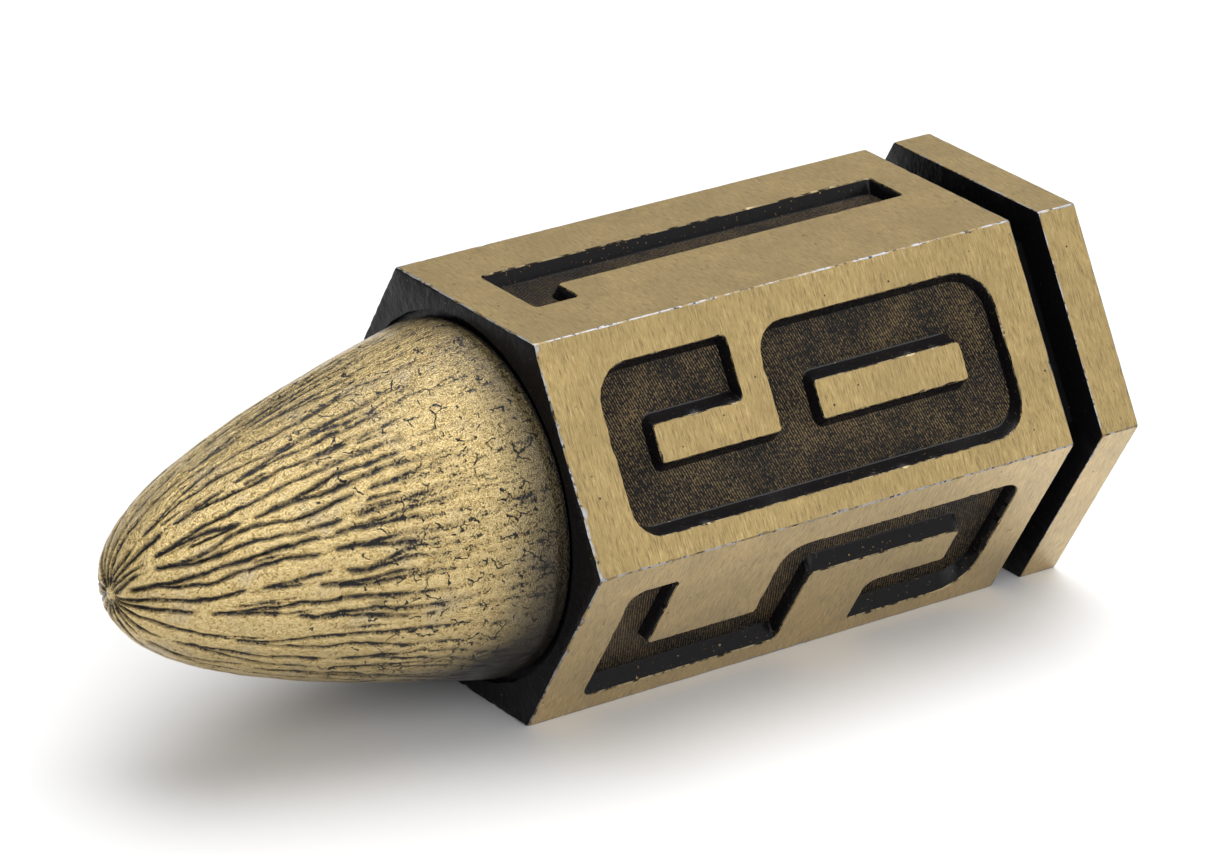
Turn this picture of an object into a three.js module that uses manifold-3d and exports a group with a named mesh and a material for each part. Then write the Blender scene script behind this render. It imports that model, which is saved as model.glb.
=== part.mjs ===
// A bullet-shaped combination capsule (cryptex): a hexagonal casing with a numeral sunk into each side, a rounded nose
// that draws out of the front with the vault tube, and a hexagonal dial at the rear that turns three gated wheels.
// Millimetres, +Z up. The capsule lies on the flat that carries the 4, its axis runs along X, and the nose points to -X.
import * as THREE from "three";
import { mergeVertices } from "three/addons/utils/BufferGeometryUtils.js";
import Module from "manifold-3d";

const wasm = await Module();
wasm.setup();

// Driving dimensions. Every x below is measured from the casing's front face, towards the dial.
const ACROSS_FLATS = 24;
const SIDE = ACROSS_FLATS / Math.sqrt(3);
const CASE_LENGTH = 2.5 * SIDE;
const WAIST_WIDTH = 2.2;
const WAIST_ACROSS_FLATS = 19.2;
const DIAL_THICKNESS = 2.8;
const NOSE_RADIUS = 10.85;
const NOSE_LENGTH = 23.7;
const NUMERAL_DEPTH = 0.9;

// Clearances: between faces that slide or turn, and around pieces that are fixed in a hole.
const RUN = 0.3;
const FIT = 0.1;

// Radii of the lock, from the inside out.
const VAULT_RADIUS = 3.9;
const TUBE_RADIUS = 5;
const GUIDE_INNER = TUBE_RADIUS + RUN;
const GUIDE_OUTER = 6.1;
const WHEEL_INNER = GUIDE_OUTER + RUN;
const SPACER_OUTER = 7.4;
const PIN_TIP = 7.5;
const GATE_RADIUS = 7.9;
const TAB_INNER = 7.8;
const WHEEL_OUTER = 9.1;
const BAY_RADIUS = WHEEL_OUTER + RUN;
const SEAT_RADIUS = 9.9;

// Stations along the axis.
const FRONT_WALL = 2.4;
const WHEEL_THICKNESS = 4;
const SPACER_THICKNESS = 2.8;
const PITCH = WHEEL_THICKNESS + SPACER_THICKNESS + 2 * RUN;
const FIRST_WHEEL = FRONT_WALL + 0.4;
const wheelStart = (i) => FIRST_WHEEL + i * PITCH;
const spacerStart = (i) => wheelStart(i) + WHEEL_THICKNESS + RUN;
const WHEELS = 3;
const CAM_START = wheelStart(WHEELS);
const CAM_END = CAM_START + 2.8;
const SPRING_START = CAM_END + RUN;
const SPRING_END = SPRING_START + 0.4;
const SHOULDER = SPRING_END + 0.1;
const BEARING_START = SHOULDER + RUN;
const BEARING_END = BEARING_START + 3.9;
const CIRCLIP_START = BEARING_END + RUN;
const CIRCLIP_END = CIRCLIP_START + 0.5;
const TUBE_END = CAM_START - RUN;
const DIAL_START = CASE_LENGTH + RUN;
const WAIST_END = CASE_LENGTH + WAIST_WIDTH;
const DIAL_END = WAIST_END + DIAL_THICKNESS;

// Widths and angles. Angles are in the YZ plane from +Y towards +Z, so the line of gates lies along the top.
const PIN_RADIUS = 1;
const GATE_WIDTH = 2.8;
const SLOT_WIDTH = 2.6;
const KEY_WIDTH = 1.8;
const GATE_ANGLE = 90;
const TAB_SPAN = 16;
const TAB_REACH = 2.2;
const TABS = [
  { front: null, rear: 330 },
  { front: 150, rear: 270 },
  { front: 30, rear: 330 },
];
const CAM_TAB = 210;
const CLICK_RADIUS = 7;
const CORNER_ANGLE = 60;

// Facets of a full circle, for large and for small rounds.
const SMOOTH = 36;
const SMALL = 12;

const finish = (color, roughness, metalness) => new THREE.MeshStandardMaterial({ color, roughness, metalness });
const antiqueBrass = finish(0xa08650, 0.42, 1);
const castBrass = finish(0xb39a62, 0.48, 1);
const yellowBrass = finish(0xc3a35a, 0.32, 1);
const steel = finish(0xa4a6a8, 0.35, 1);
const springSteel = finish(0x77797c, 0.3, 1);
const blackRubber = finish(0x17171a, 0.85, 0);

const radians = THREE.MathUtils.degToRad;

// A closed geometry as a solid that can be joined and cut.
function solid(geometry) {
  const bare = geometry.index ? geometry.toNonIndexed() : geometry.clone();
  bare.deleteAttribute("normal");
  bare.deleteAttribute("uv");
  const merged = mergeVertices(bare, 1e-4);
  const vertProperties = merged.attributes.position.array;
  const triVerts = new Uint32Array(merged.index.array);
  return new wasm.Manifold(new wasm.Mesh({ numProp: 3, vertProperties, triVerts }));
}

function named(name, shape, material) {
  const made = shape.getMesh();
  const geometry = new THREE.BufferGeometry();
  geometry.setAttribute("position", new THREE.BufferAttribute(new Float32Array(made.vertProperties), 3));
  geometry.setIndex(new THREE.BufferAttribute(new Uint32Array(made.triVerts), 1));
  geometry.computeVertexNormals();
  const mesh = new THREE.Mesh(geometry, material);
  mesh.name = name;
  return mesh;
}

// A round or polygonal bar along X.
function bar(radius, x0, x1, segments = SMOOTH, start = 0) {
  const geometry = new THREE.CylinderGeometry(radius, radius, x1 - x0, segments, 1, false, start);
  return solid(geometry.rotateZ(-Math.PI / 2).translate((x0 + x1) / 2, 0, 0));
}

// A hexagonal bar along X with flats above and below.
const hexBar = (acrossFlats, x0, x1) => bar(acrossFlats / Math.sqrt(3), x0, x1, 6, Math.PI / 6);

// A box between two corners.
function block(low, high) {
  const size = high.map((value, i) => value - low[i]);
  const centre = high.map((value, i) => (value + low[i]) / 2);
  return solid(new THREE.BoxGeometry(...size).translate(...centre));
}

// A body turned about X from a profile of [x, radius] points that closes on itself or starts and ends on the axis.
function turned(profile, segments = SMOOTH) {
  const points = profile.map(([x, radius]) => new THREE.Vector2(radius, x));
  return solid(new THREE.LatheGeometry(points, segments).rotateZ(-Math.PI / 2));
}

// A flat shape in the YZ plane, extruded from x0 to x1.
function plate(shape, x0, x1) {
  const geometry = new THREE.ExtrudeGeometry(shape, { depth: x1 - x0, bevelEnabled: false });
  const lie = new THREE.Matrix4().makeBasis(
    new THREE.Vector3(0, 1, 0),
    new THREE.Vector3(0, 0, 1),
    new THREE.Vector3(1, 0, 0),
  );
  return solid(geometry.applyMatrix4(lie).translate(x0, 0, 0));
}

// Points along an arc about the axis, both ends included.
function arc(radius, from, to) {
  const steps = Math.max(2, Math.round((Math.abs(to - from) / 360) * SMOOTH));
  return Array.from({ length: steps + 1 }, (_, i) => {
    const angle = radians(from + ((to - from) * i) / steps);
    return new THREE.Vector2(radius * Math.cos(angle), radius * Math.sin(angle));
  });
}

// A ring segment between two radii and two angles.
const arcBand = (inner, outer, from, to) => [...arc(outer, from, to), ...arc(inner, to, from)];

function annulus(inner, outer) {
  const shape = new THREE.Shape(arc(outer, 0, 360).slice(1));
  shape.holes.push(new THREE.Path(arc(inner, 360, 0).slice(1)));
  return shape;
}

// A small round bar that points out from the axis at an angle.
function radialBar(radius, x, from, to, angle) {
  const geometry = new THREE.CylinderGeometry(radius, radius, to - from, SMALL);
  geometry.translate(0, (from + to) / 2, 0).rotateX(radians(angle)).translate(x, 0, 0);
  return solid(geometry);
}

// Numerals, in units of one side of the hexagon, read with the nose up: x to the right, y down from the front edge.
const LEFT = 0.11;
const LEFT_IN = 0.39;
const RIGHT_IN = 0.56;
const RIGHT = 0.84;
const TOP = 0.24;
const TOP_IN = 0.465;
const MIDDLE = 1.055;
const MIDDLE_IN = 1.275;
const BASE_IN = 2.07;
const BASE = 2.3;
const HOOK_HIGH = 0.92;
const HOOK_LOW = 1.65;
const CRISP = 0.02;
const SOFT = 0.06;
const ROUND = 0.15;

// The 2 is the 5 turned over, so both are listed from the closed end of the figure.
const fiveFrom = (flip) =>
  [
    [LEFT, TOP, SOFT],
    [RIGHT, TOP, SOFT],
    [RIGHT, TOP_IN, CRISP],
    [LEFT_IN, TOP_IN, CRISP],
    [LEFT_IN, MIDDLE, CRISP],
    [RIGHT, MIDDLE, SOFT],
    [RIGHT, BASE, ROUND],
    [LEFT, BASE, ROUND],
    [LEFT, HOOK_LOW, CRISP],
    [LEFT_IN, HOOK_LOW, SOFT],
    [LEFT_IN, BASE_IN, CRISP],
    [RIGHT_IN, BASE_IN, CRISP],
    [RIGHT_IN, MIDDLE_IN, CRISP],
    [LEFT, MIDDLE_IN, CRISP],
  ].map(([x, y, r]) => [x, flip ? TOP + BASE - y : y, r]);

const ONE_LEFT = 0.485;
const ONE_RIGHT = 0.72;
const ONE_FLAG = 0.32;
const THREE_MIDDLE = 0.3;

const NUMERALS = [
  {
    digit: 1,
    outline: [
      [ONE_FLAG, TOP, CRISP],
      [ONE_RIGHT, TOP, CRISP],
      [ONE_RIGHT, BASE, CRISP],
      [ONE_LEFT, BASE, CRISP],
      [ONE_LEFT, TOP_IN, CRISP],
      [ONE_FLAG, TOP_IN, CRISP],
    ],
  },
  {
    digit: 6,
    outline: [
      [LEFT, TOP, ROUND],
      [RIGHT, TOP, ROUND],
      [RIGHT, HOOK_HIGH, CRISP],
      [RIGHT_IN, HOOK_HIGH, CRISP],
      [RIGHT_IN, TOP_IN, CRISP],
      [LEFT_IN, TOP_IN, CRISP],
      [LEFT_IN, MIDDLE, CRISP],
      [RIGHT, MIDDLE, ROUND],
      [RIGHT, BASE, ROUND],
      [LEFT, BASE, ROUND],
    ],
    island: [
      [LEFT_IN, MIDDLE_IN, CRISP],
      [LEFT_IN, BASE_IN, CRISP],
      [RIGHT_IN, BASE_IN, CRISP],
      [RIGHT_IN, MIDDLE_IN, CRISP],
    ],
  },
  { digit: 5, outline: fiveFrom(false) },
  {
    digit: 4,
    outline: [
      [LEFT, TOP, SOFT],
      [LEFT_IN, TOP, CRISP],
      [LEFT_IN, MIDDLE, CRISP],
      [RIGHT_IN, MIDDLE, CRISP],
      [RIGHT_IN, TOP, CRISP],
      [RIGHT, TOP, SOFT],
      [RIGHT, BASE, SOFT],
      [RIGHT_IN, BASE, CRISP],
      [RIGHT_IN, MIDDLE_IN, CRISP],
      [LEFT, MIDDLE_IN, ROUND],
    ],
  },
  {
    digit: 3,
    outline: [
      [LEFT, TOP, ROUND],
      [RIGHT, TOP, ROUND],
      [RIGHT, BASE, ROUND],
      [LEFT, BASE, ROUND],
      [LEFT, HOOK_LOW, CRISP],
      [LEFT_IN, HOOK_LOW, CRISP],
      [LEFT_IN, BASE_IN, CRISP],
      [RIGHT_IN, BASE_IN, CRISP],
      [RIGHT_IN, MIDDLE_IN, CRISP],
      [THREE_MIDDLE, MIDDLE_IN, CRISP],
      [THREE_MIDDLE, MIDDLE, CRISP],
      [RIGHT_IN, MIDDLE, CRISP],
      [RIGHT_IN, TOP_IN, CRISP],
      [LEFT_IN, TOP_IN, CRISP],
      [LEFT_IN, HOOK_HIGH, CRISP],
      [LEFT, HOOK_HIGH, CRISP],
    ],
  },
  { digit: 2, outline: fiveFrom(true) },
];

// A closed path through [x, y, radius] corners, each rounded by its own radius, scaled and laid along the casing.
function cornered(Kind, corners) {
  const path = new Kind();
  const at = corners.map(([x, y]) => new THREE.Vector2(y * SIDE, (x - 0.5) * SIDE));
  corners.forEach(([, , radius], i) => {
    const corner = at[i];
    const before = at.at(i - 1);
    const after = at[(i + 1) % at.length];
    const start = before.clone().sub(corner).setLength(radius * SIDE).add(corner);
    const end = after.clone().sub(corner).setLength(radius * SIDE).add(corner);
    if (i) path.lineTo(start.x, start.y);
    else path.moveTo(start.x, start.y);
    path.quadraticCurveTo(corner.x, corner.y, end.x, end.y);
  });
  path.closePath();
  return path;
}

// The recess of one numeral, on the top face, turned about the axis to its own face.
function numeralRecess({ outline, island }, face) {
  const shape = cornered(THREE.Shape, outline);
  if (island) shape.holes.push(cornered(THREE.Path, island));
  const geometry = new THREE.ExtrudeGeometry(shape, {
    depth: NUMERAL_DEPTH + 1,
    bevelEnabled: false,
    curveSegments: 3,
  });
  geometry.translate(0, 0, ACROSS_FLATS / 2 - NUMERAL_DEPTH).rotateX((face * Math.PI) / 3);
  return solid(geometry);
}

const NOSE_SEAT_DEPTH = 0.5;
const NOSE_BACK = NOSE_SEAT_DEPTH - RUN;
const SOCKET_LIP = 0.9;
const CIRCLIP_GROOVE = 10.5;
const DOWEL_RADIUS = 0.8;
const DOWEL_START = BEARING_START + 1.2;

function bearingDowel(clearance) {
  const x0 = DOWEL_START - clearance;
  const angle = radians(CORNER_ANGLE);
  const dowel = bar(DOWEL_RADIUS + clearance, x0, BEARING_END + (clearance ? 0.1 : 0), SMALL);
  return dowel.translate(0, SEAT_RADIUS * Math.cos(angle), SEAT_RADIUS * Math.sin(angle));
}

// The casing: front wall with the vault's socket and the pins' keyway, wheel bay, bearing seat and circlip groove.
function makeCasing() {
  let casing = hexBar(ACROSS_FLATS, 0, CASE_LENGTH);
  const cuts = [
    bar(NOSE_RADIUS + RUN, -1, NOSE_SEAT_DEPTH),
    bar(GUIDE_INNER, -1, FRONT_WALL),
    block([-1, -GATE_WIDTH / 2, 0], [FRONT_WALL + 0.1, GATE_WIDTH / 2, GATE_RADIUS]),
    bar(GUIDE_OUTER + FIT, SOCKET_LIP, FRONT_WALL + 0.1),
    bar(BAY_RADIUS, FRONT_WALL, SHOULDER + 0.1),
    bar(SEAT_RADIUS, SHOULDER, CASE_LENGTH + 1),
    bar(CIRCLIP_GROOVE, BEARING_END, CIRCLIP_END + RUN),
    bearingDowel(FIT),
    ...NUMERALS.map(numeralRecess),
  ];
  for (const cut of cuts) casing = casing.subtract(cut);
  return named("body_shell", casing, antiqueBrass);
}

// The slotted tube that the wheels turn on. Its top slot guides the lock pins, and its lower one holds the spacers.
function makeGuideTube() {
  let tube = plate(annulus(GUIDE_INNER, GUIDE_OUTER), SOCKET_LIP + RUN, TUBE_END);
  tube = tube.subtract(block([0, -SLOT_WIDTH / 2, 0], [CASE_LENGTH, SLOT_WIDTH / 2, WHEEL_INNER]));
  const keySlot = KEY_WIDTH / 2 + RUN;
  tube = tube.subtract(block([wheelStart(0) + 2, -keySlot, -WHEEL_INNER], [CASE_LENGTH, keySlot, 0]));
  return named("guide_tube", tube, yellowBrass);
}

// A fixed washer between two wheels, open at the top for a lock pin and keyed to the guide tube below.
function makeSpacer(i) {
  const x0 = spacerStart(i);
  const x1 = x0 + SPACER_THICKNESS;
  let spacer = plate(annulus(WHEEL_INNER, SPACER_OUTER), x0, x1);
  spacer = spacer.subtract(block([x0 - 1, -SLOT_WIDTH / 2, 0], [x1 + 1, SLOT_WIDTH / 2, SPACER_OUTER + 1]));
  const key = block([x0, -KEY_WIDTH / 2, -WHEEL_INNER - 0.5], [x1, KEY_WIDTH / 2, -TUBE_RADIUS - 0.5]);
  return named(`spacer_${i + 1}`, spacer.add(key), steel);
}

// A tab that stands out of a wheel's face and pushes its neighbour round.
function driveTab(face, direction, angle) {
  const root = 0.5;
  const ends = [face - direction * root, face + direction * TAB_REACH].sort((a, b) => a - b);
  const outline = arcBand(TAB_INNER, WHEEL_OUTER, angle - TAB_SPAN / 2, angle + TAB_SPAN / 2);
  return plate(new THREE.Shape(outline), ...ends);
}

function makeWheel(i) {
  const x0 = wheelStart(i);
  const x1 = x0 + WHEEL_THICKNESS;
  let wheel = plate(annulus(WHEEL_INNER, WHEEL_OUTER), x0, x1);
  wheel = wheel.subtract(block([x0 - 1, -GATE_WIDTH / 2, 0], [x1 + 1, GATE_WIDTH / 2, GATE_RADIUS]));
  const { front, rear } = TABS[i];
  wheel = wheel.add(driveTab(x1, 1, rear));
  if (front !== null) wheel = wheel.add(driveTab(x0, -1, front));
  return named(`wheel_${i + 1}`, wheel, yellowBrass);
}

const SPINDLE_RADIUS = 4;
const SPINDLE_END = 2.5;
const SPINDLE_FLAT = 1.8;
const CAM_SCREW_HEAD = 2.2;
const CAM_RECESS = 1.6;
const SPINDLE_START = CAM_START + CAM_RECESS;
const SQUARE = 4.4;
const SQUARE_START = CASE_LENGTH - 0.2;
const SQUARE_END = WAIST_END + 0.6;
const DIAL_SCREW_HEAD = 2.6;
const DIAL_SCREW_SHANK = 1.2;
const DIAL_SCREW_BOSS = 1.4;

// The dial's cast head: hexagonal plate, narrower hexagonal waist, square socket for the spindle and an index dot.
function makeDial() {
  let dial = hexBar(ACROSS_FLATS, WAIST_END, DIAL_END);
  dial = dial.add(hexBar(WAIST_ACROSS_FLATS, DIAL_START, WAIST_END + 0.5));
  const half = SQUARE / 2 + FIT;
  const indexDot = new THREE.SphereGeometry(0.8, SMALL, 6);
  indexDot.translate((WAIST_END + DIAL_END) / 2, 0, ACROSS_FLATS / 2 + 0.3).rotateX(radians(-CORNER_ANGLE));
  const cuts = [
    block([DIAL_START - 1, -half, -half], [SQUARE_END + RUN, half, half]),
    bar(DIAL_SCREW_SHANK + FIT, SQUARE_END, DIAL_END + 1, SMALL),
    bar(DIAL_SCREW_HEAD + FIT, DIAL_END - DIAL_SCREW_BOSS - FIT, DIAL_END + 1, SMOOTH),
    solid(indexDot),
  ];
  for (const cut of cuts) dial = dial.subtract(cut);
  return named("dial_cap", dial, antiqueBrass);
}

// The spindle: a flatted end for the cam, a round journal, and a square end for the dial.
function makeSpindle() {
  const side = SQUARE / 2;
  const journalStart = CAM_END + FIT;
  let spindle = bar(SPINDLE_RADIUS, journalStart, SQUARE_START);
  const flatted = bar(SPINDLE_END, SPINDLE_START, journalStart + 0.5).subtract(
    block([SPINDLE_START - 1, -SPINDLE_END, SPINDLE_FLAT], [journalStart, SPINDLE_END, SPINDLE_END + 1]),
  );
  spindle = spindle.add(flatted).add(block([SQUARE_START - 0.5, -side, -side], [SQUARE_END, side, side]));
  spindle = spindle.subtract(bar(0.9 + FIT, SPINDLE_START - 1, SPINDLE_START + 4.4, SMALL));
  spindle = spindle.subtract(bar(DIAL_SCREW_SHANK + FIT, SQUARE_END - 3.8, SQUARE_END + 1, SMALL));
  return named("drive_spindle", spindle, steel);
}

// A socket-head screw along the axis. Direction is +1 when the head faces +X.
function axialScrew(name, headFace, direction, head, headLength, shank, length) {
  const span = (from, to) => [from, to].sort((a, b) => a - b);
  const seat = headFace - direction * headLength;
  let screw = bar(head, ...span(headFace, seat), SMOOTH / 2);
  screw = screw.add(bar(shank, ...span(seat + direction * 0.2, seat - direction * length), SMALL));
  const socket = bar(head * 0.5, ...span(headFace + direction, headFace - direction * headLength * 0.6), 6);
  return named(name, screw.subtract(socket), steel);
}

// The drive cam: turns with the spindle, pushes the rearmost wheel with its tab, and carries six click dimples.
function makeCam() {
  let cam = bar(WHEEL_OUTER, CAM_START, CAM_END).add(driveTab(CAM_START, -1, CAM_TAB));
  cam = cam.subtract(bar(CAM_SCREW_HEAD + RUN, CAM_START - 1, CAM_START + CAM_RECESS - FIT));
  const bore = bar(SPINDLE_END + FIT, CAM_START + 1, CAM_END + 1).subtract(
    block([CAM_START, -SPINDLE_END - 1, SPINDLE_FLAT + FIT], [CAM_END + 2, SPINDLE_END + 1, SPINDLE_END + 1]),
  );
  cam = cam.subtract(bore);
  for (let click = 0; click < 6; click++) {
    const dimple = new THREE.SphereGeometry(0.9, SMALL, 6).translate(CAM_END + 0.2, 0, CLICK_RADIUS);
    cam = cam.subtract(solid(dimple.rotateX((click * Math.PI) / 3)));
  }
  return named("drive_cam", cam, yellowBrass);
}

const EAR_HALF_WIDTH = 1;
const EAR_INNER = 7.9;
const EAR_OUTER = 8.6;
const EAR_DEPTH = 1.2;

// The click spring: a flat ring with two cut-out fingers whose pips drop into the cam's dimples, and two bent ears.
function makeClickSpring() {
  const shape = annulus(SPINDLE_RADIUS + 1, EAR_OUTER);
  for (const middle of [GATE_ANGLE, GATE_ANGLE + 180]) {
    for (const inner of [CLICK_RADIUS - 1, CLICK_RADIUS + 0.7]) {
      shape.holes.push(new THREE.Path(arcBand(inner, inner + 0.3, middle - 40, middle + 12).reverse()));
    }
  }
  let spring = plate(shape, SPRING_START, SPRING_END);
  for (const side of [1, -1]) {
    const pip = new THREE.SphereGeometry(0.7, SMALL, 6).translate(SPRING_START + 0.1, 0, side * CLICK_RADIUS);
    const ear = [EAR_INNER, EAR_OUTER].map((r) => side * r).sort((a, b) => a - b);
    spring = spring.add(solid(pip)).subtract(bar(CLICK_RADIUS + 2, SPRING_END, SPRING_END + 2));
    spring = spring.add(
      block([SPRING_START, ear[0], -EAR_HALF_WIDTH], [BEARING_START + EAR_DEPTH, ear[1], EAR_HALF_WIDTH]),
    );
  }
  return named("click_spring", spring, springSteel);
}

// The bearing plate that the spindle turns in, notched for the spring's ears and pinned against turning.
function makeBearing() {
  let bearing = plate(annulus(SPINDLE_RADIUS + RUN, SEAT_RADIUS - FIT), BEARING_START, BEARING_END);
  for (const side of [1, -1]) {
    const notch = [EAR_INNER - RUN, SEAT_RADIUS + 1].map((r) => side * r).sort((a, b) => a - b);
    const half = EAR_HALF_WIDTH + FIT;
    bearing = bearing.subtract(
      block([BEARING_START - 1, notch[0], -half], [BEARING_START + EAR_DEPTH + RUN, notch[1], half]),
    );
  }
  return named("rear_bearing", bearing.subtract(bearingDowel(FIT)), yellowBrass);
}

// The internal circlip that keeps the bearing in the casing, with a plier hole at each end.
function makeCirclip() {
  const inner = 9;
  const outer = CIRCLIP_GROOVE - RUN;
  const gap = 18;
  const lugSpan = 14;
  const ring = arcBand(inner, outer, GATE_ANGLE + gap, GATE_ANGLE + 360 - gap);
  let circlip = plate(new THREE.Shape(ring), CIRCLIP_START, CIRCLIP_END);
  for (const angle of [GATE_ANGLE + gap + lugSpan / 2, GATE_ANGLE - gap - lugSpan / 2]) {
    const lug = arcBand(inner - 1.6, inner + 0.4, angle - lugSpan / 2, angle + lugSpan / 2);
    const x = CIRCLIP_START - 1;
    const y = (inner - 0.6) * Math.cos(radians(angle));
    const z = (inner - 0.6) * Math.sin(radians(angle));
    circlip = circlip.add(plate(new THREE.Shape(lug), CIRCLIP_START, CIRCLIP_END));
    circlip = circlip.subtract(bar(0.5, x, x + 3, SMALL).translate(0, y, z));
  }
  return named("bearing_circlip", circlip, springSteel);
}

const NOSE_FULLNESS = 0.43;
const NOSE_RINGS = 12;
const NOSE_SHOULDER = -0.2;
const TUBE_START = -5.6;
const TUBE_FLOOR = -4;
const CORE_SCREW_HEAD = 2.2;
const CORE_SCREW_SHANK = 0.9;
const CORE_SCREW_LENGTH = 6;

// The nose: its radius falls from the base as a power of the distance left to the tip.
function makeNose() {
  const profile = [
    [NOSE_BACK, 0],
    [NOSE_BACK, NOSE_RADIUS],
  ];
  for (let i = 0; i <= NOSE_RINGS; i++) {
    const share = Math.sin((i / NOSE_RINGS) * (Math.PI / 2));
    const radius = i === NOSE_RINGS ? 0 : NOSE_RADIUS * (1 - share) ** NOSE_FULLNESS;
    profile.push([NOSE_SHOULDER - share * NOSE_LENGTH, radius]);
  }
  let nose = turned(profile.reverse());
  nose = nose.subtract(bar(TUBE_RADIUS + FIT, TUBE_START - RUN, NOSE_BACK + 1));
  nose = nose.subtract(bar(CORE_SCREW_SHANK + FIT, TUBE_FLOOR - CORE_SCREW_LENGTH - 0.5, TUBE_START, SMALL));
  return named("nose", nose, castBrass);
}

const pinStation = (i) => spacerStart(i) + SPACER_THICKNESS / 2;
const RING_GROOVE = { start: 2.6, end: 3.7, radius: 4.4 };
const RING_RADIUS = 0.35;

// The vault tube that holds the message, closed at the nose end and open at the other.
function makeVaultTube() {
  const { start, end, radius } = RING_GROOVE;
  let tube = turned([
    [TUBE_START, 0],
    [TUBE_START, TUBE_RADIUS],
    [start, TUBE_RADIUS],
    [start, radius],
    [end, radius],
    [end, TUBE_RADIUS],
    [TUBE_END, TUBE_RADIUS],
    [TUBE_END, VAULT_RADIUS],
    [TUBE_FLOOR, VAULT_RADIUS],
    [TUBE_FLOOR, 0],
  ]);
  tube = tube.subtract(bar(CORE_SCREW_SHANK + FIT, TUBE_START - 1, TUBE_FLOOR + 1, SMALL));
  for (let i = 0; i < WHEELS; i++) {
    tube = tube.subtract(radialBar(PIN_RADIUS + FIT, pinStation(i), 0, TUBE_RADIUS + 1, GATE_ANGLE));
  }
  return named("vault_tube", tube, steel);
}

// A pin that stands out of the vault tube, behind its wheel, and can only pass through the wheel's gate.
const makePin = (i) =>
  named(`lock_pin_${i + 1}`, radialBar(PIN_RADIUS, pinStation(i), VAULT_RADIUS + FIT, PIN_TIP, GATE_ANGLE), steel);

function makeSealRing() {
  const middle = (RING_GROOVE.start + RING_GROOVE.end) / 2;
  const centre = RING_GROOVE.radius + 0.05 + RING_RADIUS;
  const torus = new THREE.TorusGeometry(centre, RING_RADIUS, 8, 2 * SMALL).rotateY(Math.PI / 2);
  return named("seal_ring", solid(torus.translate(middle, 0, 0)), blackRubber);
}

const capsule = new THREE.Group();
const indices = [...Array(WHEELS).keys()];
capsule.add(
  makeCasing(),
  makeGuideTube(),
  ...indices.map(makeSpacer),
  ...indices.map(makeWheel),
  makeBearing(),
  named("bearing_dowel", bearingDowel(0), steel),
  makeCirclip(),
  makeClickSpring(),
  makeCam(),
  axialScrew("cam_screw", CAM_START + 0.2, -1, CAM_SCREW_HEAD, 1.2, 0.9, 4),
  makeSpindle(),
  makeDial(),
  axialScrew("dial_screw", DIAL_END, 1, DIAL_SCREW_HEAD, DIAL_SCREW_BOSS, DIAL_SCREW_SHANK, 4.2),
  makeNose(),
  makeVaultTube(),
  axialScrew("core_screw", TUBE_FLOOR + 1.3, 1, CORE_SCREW_HEAD, 1.2, CORE_SCREW_SHANK, CORE_SCREW_LENGTH),
  ...indices.map(makePin),
  makeSealRing(),
);

// The origin is the middle of the underside of the whole capsule.
const NOSE_TIP = NOSE_SHOULDER - NOSE_LENGTH;
capsule.position.set(-(NOSE_TIP + DIAL_END) / 2, 0, ACROSS_FLATS / 2);
const part = new THREE.Group();
part.add(capsule);
export default part;
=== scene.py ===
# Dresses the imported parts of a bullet-shaped combination capsule: a hexagonal casing and dial in antique
# brass with sunk numerals and worn edges, a nose cast like bark, and the steel and brass lock inside them.
# Shapes are worked out in millimetres in the part's frame and become metres when a mesh is made.
import math

import bmesh
import bpy
import numpy as np
from mathutils import Matrix, Vector, noise
from mathutils.geometry import delaunay_2d_cdt


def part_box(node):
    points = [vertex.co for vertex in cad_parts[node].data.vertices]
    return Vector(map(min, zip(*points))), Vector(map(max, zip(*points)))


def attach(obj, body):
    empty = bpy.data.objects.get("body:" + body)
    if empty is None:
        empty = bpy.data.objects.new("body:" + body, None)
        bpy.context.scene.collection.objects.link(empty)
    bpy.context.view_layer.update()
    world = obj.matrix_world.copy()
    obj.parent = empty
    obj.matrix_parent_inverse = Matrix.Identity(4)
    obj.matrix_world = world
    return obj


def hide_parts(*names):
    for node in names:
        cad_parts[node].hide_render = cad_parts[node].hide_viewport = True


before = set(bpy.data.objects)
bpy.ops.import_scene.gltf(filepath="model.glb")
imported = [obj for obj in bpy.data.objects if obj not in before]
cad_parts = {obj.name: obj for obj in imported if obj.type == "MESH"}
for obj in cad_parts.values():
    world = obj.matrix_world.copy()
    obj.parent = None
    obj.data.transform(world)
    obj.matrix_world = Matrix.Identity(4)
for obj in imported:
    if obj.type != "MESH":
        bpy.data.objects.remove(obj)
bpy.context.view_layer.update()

MM = 0.001


def millimetres(node):
    return [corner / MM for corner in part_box(node)]


case_low, case_high = millimetres("body_shell")
dial_high = millimetres("dial_cap")[1]
nose_low, nose_high = millimetres("nose")
HALF_FLATS = (case_high.z - case_low.z) / 2
SIDE = 2 * HALF_FLATS / math.sqrt(3)
AXIS_Z = (case_low.z + case_high.z) / 2
FRONT_X = case_low.x

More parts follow.
